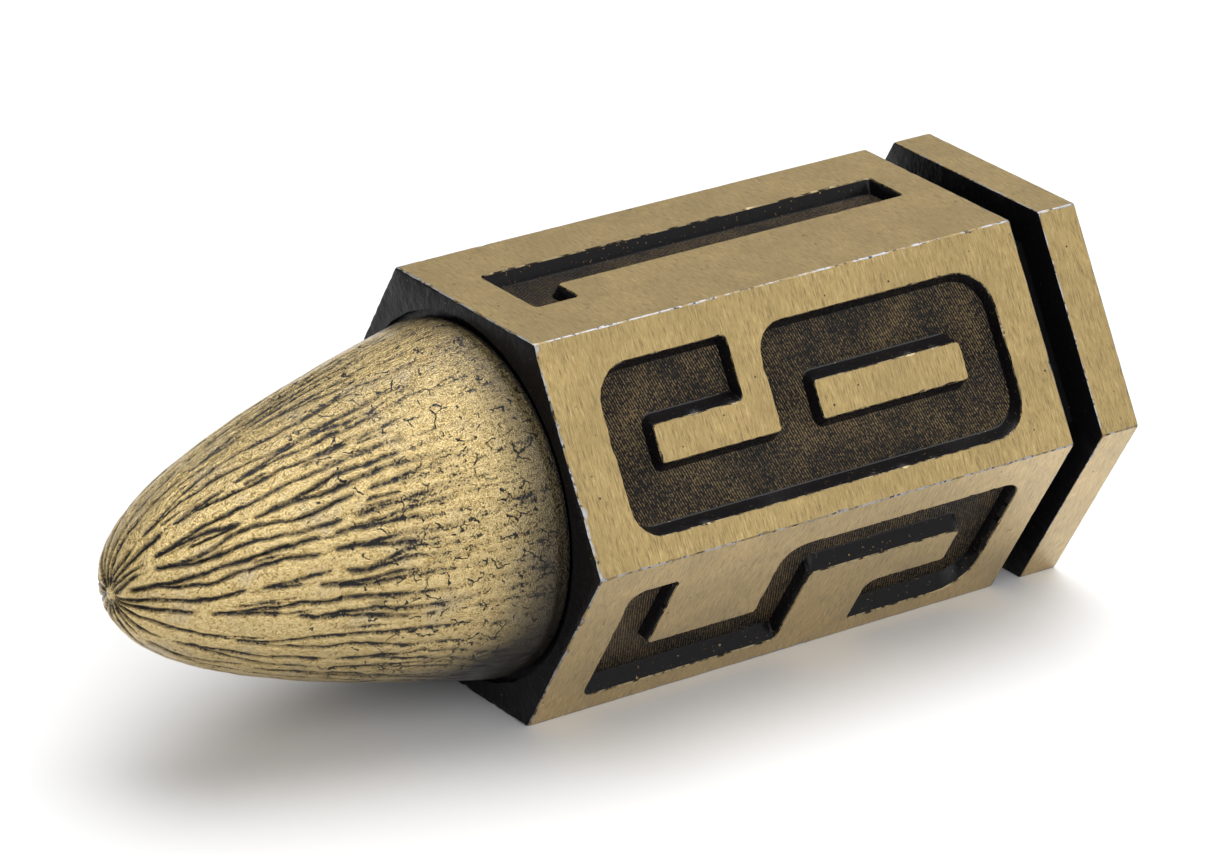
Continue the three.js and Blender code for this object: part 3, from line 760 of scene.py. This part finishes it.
def bark_brass():
    """The nose: gold on the crests, black in the furrows and cracks, speckled, and sooty round the base, with
    painted shade in the broad valleys and on the underside.
    """
    p = Paint("bark_brass")
    furrow, hollow_shade = p.attribute("furrow"), p.attribute("hollow_shade")
    soot_and_underside_shade, cracked = p.attribute("soot_and_underside_shade"), p.attribute("cracked")
    fine = p.noise((9000, 9000, 9000), 2, 0.7)
    grain = p.noise((2200, 4200, 4200), 3, 0.65, shift=(4, 4, 4))
    mottle = p.noise((800, 1500, 1500), 3, 0.6, shift=(2, 8, 5))
    clouds = p.noise((420, 420, 420), 2, 0.5)
    tone = p.sum(p.times(fine, 0.55), p.times(grain, 0.45))
    shade = p.mix(p.steps(tone, 0.34, 0.44), OLIVE, GOLD)
    shade = p.mix(p.steps(tone, 0.42, 0.54), shade, PALE_GOLD)
    shade = p.mix(p.steps(clouds, 0.5, 0.8, 0.0, 0.3), shade, SILVER)
    # Painted shade: dark brown in the broad valleys round the furrows.
    shade = p.mix(p.steps(hollow_shade, 0.2, 0.9, 0.0, 0.7), shade, colour(0.1, 0.068, 0.026))
    # Near black with the soot round the base and the painted shade on the underside, which also add to the
    # black cover below.
    shade = p.mix(p.steps(soot_and_underside_shade, 0.05, 0.9, 0.0, 0.95), shade, colour(0.018, 0.018, 0.021))
    specks = p.sum(p.times(tone, -3.4), p.times(mottle, -1.5))
    dark = p.sum(furrow, p.times(soot_and_underside_shade, 0.35), p.math("ADD", specks, 2.45))
    cover = p.steps(dark, 0.44, 0.8)
    patches = p.noise((1100, 1400, 1400), 2, 0.5, shift=(6, 1, 3))
    line = p.steps(p.crackle(760, 0.6), 0.034, 0.018)
    cracks = p.times(line, p.steps(p.sum(patches, cracked), 0.54, 0.57))
    cover = p.math("MAXIMUM", cover, cracks)
    shade = p.mix(cover, shade, BLACK)
    height = p.math("SUBTRACT", p.sum(grain, fine), p.times(cracks, 1.5))
    normal = p.bump(height, 0.13)
    return p.finish(shade, p.blend(cover, 1.0, 0.3), 0.27, normal, shine=0.2, coat=0.3)


def turned_metal(name, bright, dark, roughness):
    """Lathe-turned metal: fine rings across the axis and faint clouding."""
    p = Paint(name)
    rings = p.noise((7000, 150, 150), 3, 0.6)
    clouds = p.noise((380, 380, 380), 3, 0.5)
    tone = p.sum(p.times(rings, 0.6), p.times(clouds, 0.4))
    shade = p.mix(p.steps(tone, 0.35, 0.65), dark, bright)
    rough = p.blend(p.steps(clouds, 0.35, 0.7), roughness, roughness + 0.12)
    return p.finish(shade, 1.0, rough, p.bump(rings, 0.008))


def rubber():
    p = Paint("black_rubber")
    grain = p.noise((5000, 5000, 5000), 2, 0.5)
    shade = p.mix(p.steps(grain, 0.3, 0.7), colour(0.012, 0.012, 0.014), colour(0.028, 0.028, 0.03))
    return p.finish(shade, 0.0, 0.55, p.bump(grain, 0.01))


brushed = brushed_brass("brushed_brass", (12000, 1500, 1500), (9000, 1100, 1100))
brushed_end = brushed_brass("brushed_end", (1500, 1500, 12000), (1100, 1100, 9000))
worn = worn_metal()
rim = rubbed_rim()
wall = black_wall()
floor_metal = hatched_floor()
cast_black_and_shade = black_cast_and_shade()
bark_metal = bark_brass()
yellow_brass = turned_metal("yellow_brass", colour(0.70, 0.52, 0.22), colour(0.5, 0.35, 0.13), 0.27)
steel = turned_metal("turned_steel", colour(0.56, 0.56, 0.57), colour(0.36, 0.36, 0.37), 0.25)
spring_steel = turned_metal("spring_steel", colour(0.2, 0.205, 0.22), colour(0.09, 0.09, 0.1), 0.3)
black_rubber = rubber()
HEX_MATERIALS = [brushed, worn, rim, wall, floor_metal, cast_black_and_shade, yellow_brass]


# ---------------------------------------------------------------- casing and dial


def make_casing():
    skin = Skin()
    front, rear = hexagon_skin(skin, case_low.x, case_high.x, 1.0, CASING_WEAR, numeral_recess)
    seat = case_low.x + SEAT_DEPTH

    def keep(x, radius):
        return radius < (FACE_HOLE if x < seat else SEAT_HOLE)

    loops = inner_part(skin, "body_shell", keep, seat)
    at_front = [loop for loop in loops if skin.points[loop[0]].x < seat]
    at_rear = [loop for loop in loops if skin.points[loop[0]].x >= seat]
    end_face(skin, [front] + at_front, case_low.x, CAST_AND_SHADE, relief=RELIEF, seed=1.0)
    # The rear end faces into the waist; its black is painted shade.
    end_face(skin, [rear] + at_rear, case_high.x, CAST_AND_SHADE)
    casing = skin.build("casing_body", HEX_MATERIALS, "casing", "body_shell")


def make_dial():
    skin = Skin()
    plate_x = dial_high.x - PLATE_THICKNESS
    plate_middle = (plate_x + dial_high.x) / 2
    front, rear = hexagon_skin(skin, plate_x, dial_high.x, 9.0, DIAL_WEAR, index_dot)
    loops = inner_part(skin, "dial_cap", lambda x, radius: radius < FACE_HOLE, dial_high.x)
    at_front = [loop for loop in loops if skin.points[loop[0]].x < plate_middle]
    at_rear = [loop for loop in loops if skin.points[loop[0]].x >= plate_middle]
    # The front of the plate faces into the waist, and the faces inside the dial take the same black; in the
    # waist it is painted shade.
    end_face(skin, [front] + at_front, plate_x, CAST_AND_SHADE)
    end_face(skin, [rear] + at_rear, dial_high.x, END)
    materials = HEX_MATERIALS[:INNER] + [cast_black_and_shade, brushed_end]
    skin.build("dial_head", materials, "dial", "dial_cap")


# ---------------------------------------------------------------- nose

NOSE_COLUMNS = 600
NOSE_ROWS = 150
NOSE_FULLNESS = 0.43
NOSE_RADIUS = nose_high.z - AXIS_Z
NOSE_BACK = nose_high.x
NOSE_BASE = NOSE_BACK - 0.4
NOSE_LENGTH = NOSE_BASE - nose_low.x
PROFILE_SAMPLES = 4000
BORE_RADIUS, BORE_DEPTH, BORE_CHAMFER = 5.1, 6.1, 0.15
SCREW_RADIUS, SCREW_DEPTH = 1.0, 4.5
BARK_SEED = 11
FIRST_FURROWS = 25
PARTINGS = ((0.66, 0.95, 0.95), (0.36, 0.7, 0.62), (0, 0, 0))  # by generation: earliest, latest and chance
FURROW_DEPTH = 0.16
INK_SHARE, SWELL_SHARE = 0.6, 0.4
SWELL_WIDTH = 2.2
SMALL_STREAKS = 200
BROAD_DENT, FINE_DENT = 0.03, 0.012


def ramp(values, low, high):
    share = np.clip((values - low) / (high - low), 0, 1)
    return share * share * (3 - 2 * share)


class Bark:
    """A relief map over the nose. Rows run from the base to the tip, and columns run round the axis."""

    def __init__(self):
        self.random = np.random.default_rng(BARK_SEED)
        ahead = np.sin(np.linspace(0, math.pi / 2, PROFILE_SAMPLES))
        radius = NOSE_RADIUS * np.maximum(1 - ahead, 0) ** NOSE_FULLNESS
        ahead = ahead * NOSE_LENGTH
        travelled = np.concatenate([[0], np.cumsum(np.hypot(np.diff(radius), np.diff(ahead)))])
        self.length = travelled[-1]
        stations = np.linspace(0, self.length, NOSE_ROWS)
        self.share = stations / self.length
        self.radius = np.interp(stations, travelled, radius)
        self.ahead = np.interp(stations, travelled, ahead)
        self.angles = np.linspace(0, 2 * math.pi, NOSE_COLUMNS, endpoint=False)
        self.fade = ramp(-self.share, -1.0, -0.97)[:, None]
        self.ink = np.zeros((NOSE_ROWS, NOSE_COLUMNS))
        # The swell sinks a broad valley round each furrow and is also painted into the colour as shade.
        self.swell = np.zeros((NOSE_ROWS, NOSE_COLUMNS))

    def wander(self, size, reach):
        """A smooth random value along the nose, changing over about size millimetres."""
        knots = int(self.length / size) + 4
        values = self.random.normal(0, reach, knots)
        smooth = np.interp(self.share * (knots - 1), np.arange(knots), values)
        kernel = np.hanning(max(3, int(0.8 * size / self.length * NOSE_ROWS)))
        margin = len(kernel)
        padded = np.pad(smooth, margin, "edge")
        return np.convolve(padded, kernel / kernel.sum(), "same")[margin:-margin]

    def crooked(self, reach):
        """A jagged sideways path, as angles, that swings by about reach millimetres."""
        sideways = self.wander(4.5, reach) + self.wander(1.3, 0.035) + self.wander(0.4, 0.02)
        return sideways / np.maximum(self.radius, 1)

    def gap(self, path):
        """How far every point lies to one side of a path of angles, in millimetres."""
        turn = (self.angles[None] - path[:, None] + math.pi) % (2 * math.pi) - math.pi
        return turn * self.radius[:, None]

    def furrow(self, path, low, high, ink, narrow=1.0):
        """Cuts along a path between two shares of the way to the tip, crisp near it and faint at the base."""
        ends = ramp(self.share, low, low + 0.04) * ramp(-self.share, -high - 0.001, -high + 0.02)
        broken = 1 - 0.7 * ramp(self.share, 0.35, 0.6)
        uneven = 1 + self.wander(0.7, 0.16) * broken + self.wander(3.0, 0.12)
        strength = ink * ends * np.clip(uneven, 0.3, 1.2) * (0.4 + 0.6 * ramp(self.share, 0.15, 0.5))
        width = narrow * (0.16 - 0.07 * ramp(self.share, 0.15, 0.6)) * (1 + self.wander(0.5, 0.2))
        across = self.gap(path) / width[:, None]
        self.ink = np.maximum(self.ink, strength[:, None] * np.exp(-(across**2)))
        self.swell = np.maximum(self.swell, strength[:, None] * np.exp(-((across / SWELL_WIDTH) ** 2)))

    def patch(self, one, other, high, size):
        """Sinks and darkens the rough hollow between two furrows just after they part: black through the ink,
        painted shade through the swell.
        """
        low = high - size / self.length
        length = ramp(self.share, low - 0.02, low + 0.01) * ramp(-self.share, -high - 0.02, -high)
        inside = np.minimum(self.gap(one), -self.gap(other))
        hollow_shade = 0.45 * length[:, None] * ramp(inside, -0.05, 0.08)
        self.ink = np.maximum(self.ink, hollow_shade)
        self.swell = np.maximum(self.swell, hollow_shade)

    def grow(self, path, span, born, generation):
        """A furrow that runs from the tip towards the base and parts into two on the way."""
        part_from, part_to, chance = PARTINGS[generation]
        if self.random.random() > chance:
            self.furrow(path, self.random.uniform(-0.05, 0.12), born, 1.0)
            return
        parting = self.random.uniform(part_from, part_to)
        self.furrow(path, parting, born, 1.0)
        away = ramp(-self.share, -parting, -parting + 0.22)
        sides = []
        for side in (-1, 1):
            sideways = away * self.crooked(0.13)
            sides.append(path + side * span / 4 * away + sideways)
        self.patch(sides[0], sides[1], parting, self.random.uniform(0.3, 1.7))
        for side in sides:
            self.grow(side, span / 2, parting, generation + 1)

    def carve(self):
        spacing = 2 * math.pi / FIRST_FURROWS
        for i in range(FIRST_FURROWS):
            middle = (i + self.random.uniform(-0.22, 0.22)) * spacing
            self.grow(middle + self.crooked(0.15), spacing, 1.0, 0)
        for i in range(SMALL_STREAKS):
            angle = self.random.uniform(0, 2 * math.pi)
            low = self.random.uniform(0.0, 0.75)
            high = low + self.random.uniform(0.05, 0.2)
            self.furrow(angle + self.crooked(0.06), low, high, self.random.uniform(0.35, 0.9), 0.7)

    def hammering(self):
        """Shallow dents and grain over the whole nose."""
        dents = np.zeros_like(self.ink)
        for row in range(NOSE_ROWS):
            for column, angle in enumerate(self.angles):
                y, z = self.radius[row] * math.cos(angle), self.radius[row] * math.sin(angle)
                place = Vector((self.ahead[row] * 0.5, y, z))
                broad, fine = noise.noise(place * 0.9), noise.noise(place * 3.4)
                dents[row, column] = BROAD_DENT * (1 + broad) + FINE_DENT * (1 + fine)
        return dents


def nose_back():
    """The turned back of the nose, from its screw hole out to its rim: depths and radii."""
    return [
        (BORE_DEPTH + SCREW_DEPTH, SCREW_RADIUS),
        (BORE_DEPTH, SCREW_RADIUS),
        (BORE_DEPTH, BORE_RADIUS),
        (BORE_CHAMFER, BORE_RADIUS),
        (0.0, BORE_RADIUS + BORE_CHAMFER),
        (0.0, NOSE_RADIUS - 0.32),
        (0.06, NOSE_RADIUS - 0.2),
    ]


def nose_rings(bark):
    """Rings of (place on the axis, radii), up the back and over the bark to the tip."""
    slope = np.gradient(bark.radius, bark.ahead + 1e-6 * np.arange(NOSE_ROWS))
    lean = np.arctan(-slope)[:, None]
    turned_edge = 0.2 * np.exp(-((bark.share / 0.012) ** 2))[:, None]
    cut = FURROW_DEPTH * (INK_SHARE * bark.ink + SWELL_SHARE * bark.swell)
    sink = (cut + bark.hammering()) * bark.fade + turned_edge
    radius = np.maximum(bark.radius[:, None] - sink * np.cos(lean), 0.02)
    ahead = bark.ahead[:, None] - sink * np.sin(lean)
    rings = [(NOSE_BACK - depth, np.full(NOSE_COLUMNS, r)) for depth, r in nose_back()]
    return rings + [(NOSE_BASE - ahead[row], radius[row]) for row in range(NOSE_ROWS - 1)]


def ring_faces(count):
    """Faces between count rings of NOSE_COLUMNS points, and a face over each end."""
    columns = np.arange(NOSE_COLUMNS)
    faces = []
    for row in range(count - 1):
        here, there = row * NOSE_COLUMNS + columns, (row + 1) * NOSE_COLUMNS + columns
        faces += np.stack([here, there, np.roll(there, -1), np.roll(here, -1)], axis=1).tolist()
    return faces + [columns.tolist(), ((count - 1) * NOSE_COLUMNS + columns[::-1]).tolist()]


def bark_tones(bark):
    """What the bark's material reads at each point: its value on the back, and the grid over the bark."""
    share = bark.share
    # A dark band of soot round the base, a weaker darkening towards the base, and painted shade that darkens
    # the underside, most near the base.
    below = -np.sin(bark.angles[None])
    towards_base = ramp(-share, -0.6, 0.0)[:, None]
    soot_and_underside_shade = np.exp(-((share[:, None] / (0.14 + 0.04 * below)) ** 2)) * 0.85 + 0.16 * towards_base
    soot_and_underside_shade = np.minimum(1, soot_and_underside_shade * (0.76 + 0.2 * below) + ramp(below, 0.3, 0.9) * (0.2 + 0.25 * towards_base))
    cracked = -0.1 * ramp(share, 0.38, 0.55) - 0.4 * ramp(share, 0.5, 0.7)
    return {
        "furrow": (0.0, bark.ink * bark.fade),
        # Painted shade in the broad valleys.
        "hollow_shade": (0.0, bark.swell * bark.fade),
        "soot_and_underside_shade": (1.0, soot_and_underside_shade),
        "cracked": (-1.0, np.broadcast_to(cracked[:, None], bark.ink.shape)),
    }


def make_nose():
    bark = Bark()
    bark.carve()
    rings = nose_rings(bark)
    corners = []
    for x, r in rings:
        y, z = r * np.cos(bark.angles), AXIS_Z + r * np.sin(bark.angles)
        corners.append(np.stack([np.broadcast_to(x, y.shape), y, z], axis=1))
    mesh = bpy.data.meshes.new("nose_bark")
    mesh.from_pydata(np.concatenate(corners) * MM, [], ring_faces(len(rings)))
    mesh.polygons.foreach_set("use_smooth", [True] * len(mesh.polygons))
    for name, (on_back, grid) in bark_tones(bark).items():
        back = np.full(len(nose_back()) * NOSE_COLUMNS, on_back)
        values = np.concatenate([back, grid[: NOSE_ROWS - 1].ravel()])
        mesh.attributes.new(name, "FLOAT", "POINT").data.foreach_set("value", values.astype(np.float32))
    finished = bmesh.new()
    finished.from_mesh(mesh)
    bmesh.ops.recalc_face_normals(finished, faces=finished.faces)
    finished.to_mesh(mesh)
    finished.free()
    mesh.set_sharp_from_angle(angle=math.radians(60))
    finish_piece("nose_bark", mesh, [bark_metal], "nose", "nose")


make_casing()
make_dial()
make_nose()

# ---------------------------------------------------------------- carried-over pieces

FINISHES = {
    yellow_brass: ["guide_tube", "wheel_1", "wheel_2", "wheel_3", "rear_bearing", "drive_cam"],
    steel: ["spacer_1", "spacer_2", "spacer_3", "bearing_dowel", "cam_screw", "drive_spindle", "dial_screw"]
    + ["vault_tube", "core_screw", "lock_pin_1", "lock_pin_2", "lock_pin_3"],
    spring_steel: ["bearing_circlip", "click_spring"],
    black_rubber: ["seal_ring"],
}
EDGE_BREAK = 0.06


def dress(node, material):
    """Gives a CAD node its metal, welded facets and slightly broken edges."""
    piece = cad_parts[node]
    piece.data.materials.clear()
    piece.data.materials.append(material)
    piece.data.polygons.foreach_set("use_smooth", [True] * len(piece.data.polygons))
    weld = piece.modifiers.new("weld", "WELD")
    weld.merge_threshold = WELD * MM
    broken = piece.modifiers.new("broken_edges", "BEVEL")
    broken.width = EDGE_BREAK * MM
    broken.segments = 2
    broken.limit_method = "ANGLE"
    broken.angle_limit = math.radians(35)
    level = piece.modifiers.new("level", "WEIGHTED_NORMAL")
    level.keep_sharp = True


for material, nodes in FINISHES.items():
    for node in nodes:
        dress(node, material)

# ---------------------------------------------------------------- floor, light and camera


FLOOR_SIZE = 4.0
BASE_LIGHT = 0.18
GLOWS = [  # where it lies, how far it fades out and where it is full (degrees), and how bright it is
    ((0.3, 0.13, 1.0), 45, 12, 3.4),
    ((0.5, -0.75, 0.44), 38, 12, 0.74),
    ((-0.29, -0.79, 0.54), 36, 10, 2.0),
]
# The view of the photograph, found from the hexagon's corners. Angles are in degrees, lengths in sides.
AZIMUTH, ELEVATION, ROLL = -36.516, 23.701, 1.275
TARGET_BEHIND_FRONT, TARGET_ABOVE_AXIS = 0.7994, 0.1255
CAMERA_DISTANCE = 26.579
FIELD_OF_VIEW = 11.226
SENSOR_WIDTH = 36


def make_floor():
    bpy.ops.mesh.primitive_plane_add(size=FLOOR_SIZE, location=(0, 0, 0))
    floor = bpy.context.object
    floor.name = "floor"
    p = Paint("floor_white")
    grain = p.noise((40, 40, 40), 2, 0.5)
    shade = p.mix(grain, colour(0.86, 0.86, 0.865), colour(0.88, 0.88, 0.885))
    floor.data.materials.append(p.finish(shade, 0.0, 0.6))


def make_world():
    """A light tent: bright overhead and dim towards the horizon, with soft cards round it."""
    world = bpy.data.worlds.new("studio")
    world.use_nodes = True
    n = Nodes(world.node_tree)
    direction = n.add("TexCoord").outputs["Generated"]
    strength = n.add("Value").outputs[0]
    strength.default_value = BASE_LIGHT
    for toward, fades, full, power in GLOWS:
        inputs = {0: direction, 1: Vector(toward).normalized()}
        dot = n.add("VectorMath", {"operation": "DOT_PRODUCT"}, inputs).outputs["Value"]
        near = n.steps(dot, math.cos(math.radians(fades)), math.cos(math.radians(full)), 0.0, power)
        strength = n.sum(strength, near)
    glow = n.add("Background", inputs={"Color": colour(1, 1, 1), "Strength": strength})
    n.add("OutputWorld", inputs={"Surface": glow.outputs["Background"]})
    bpy.context.scene.world = world


def make_camera():
    azimuth, elevation, roll = (math.radians(angle) for angle in (AZIMUTH, ELEVATION, ROLL))
    level = math.cos(elevation)
    back = Vector((math.sin(azimuth) * level, -math.cos(azimuth) * level, math.sin(elevation)))
    right = Vector((math.cos(azimuth), math.sin(azimuth), 0))
    up = back.cross(right)
    turned_right = right * math.cos(roll) + up * math.sin(roll)
    turned_up = up * math.cos(roll) - right * math.sin(roll)
    target = Vector((FRONT_X + TARGET_BEHIND_FRONT * SIDE, 0, AXIS_Z + TARGET_ABOVE_AXIS * SIDE)) * MM
    camera = bpy.data.cameras.new("camera")
    camera.sensor_width = SENSOR_WIDTH
    camera.lens = SENSOR_WIDTH / 2 / math.tan(math.radians(FIELD_OF_VIEW / 2))
    camera.clip_start = 0.01
    holder = bpy.data.objects.new("camera", camera)
    turn = Matrix((turned_right, turned_up, back)).transposed().to_4x4()
    holder.matrix_world = Matrix.Translation(target + back * CAMERA_DISTANCE * SIDE * MM) @ turn
    bpy.context.scene.collection.objects.link(holder)
    bpy.context.scene.camera = holder


make_floor()
make_world()
make_camera()
bpy.context.scene.view_settings.view_transform = "Standard"
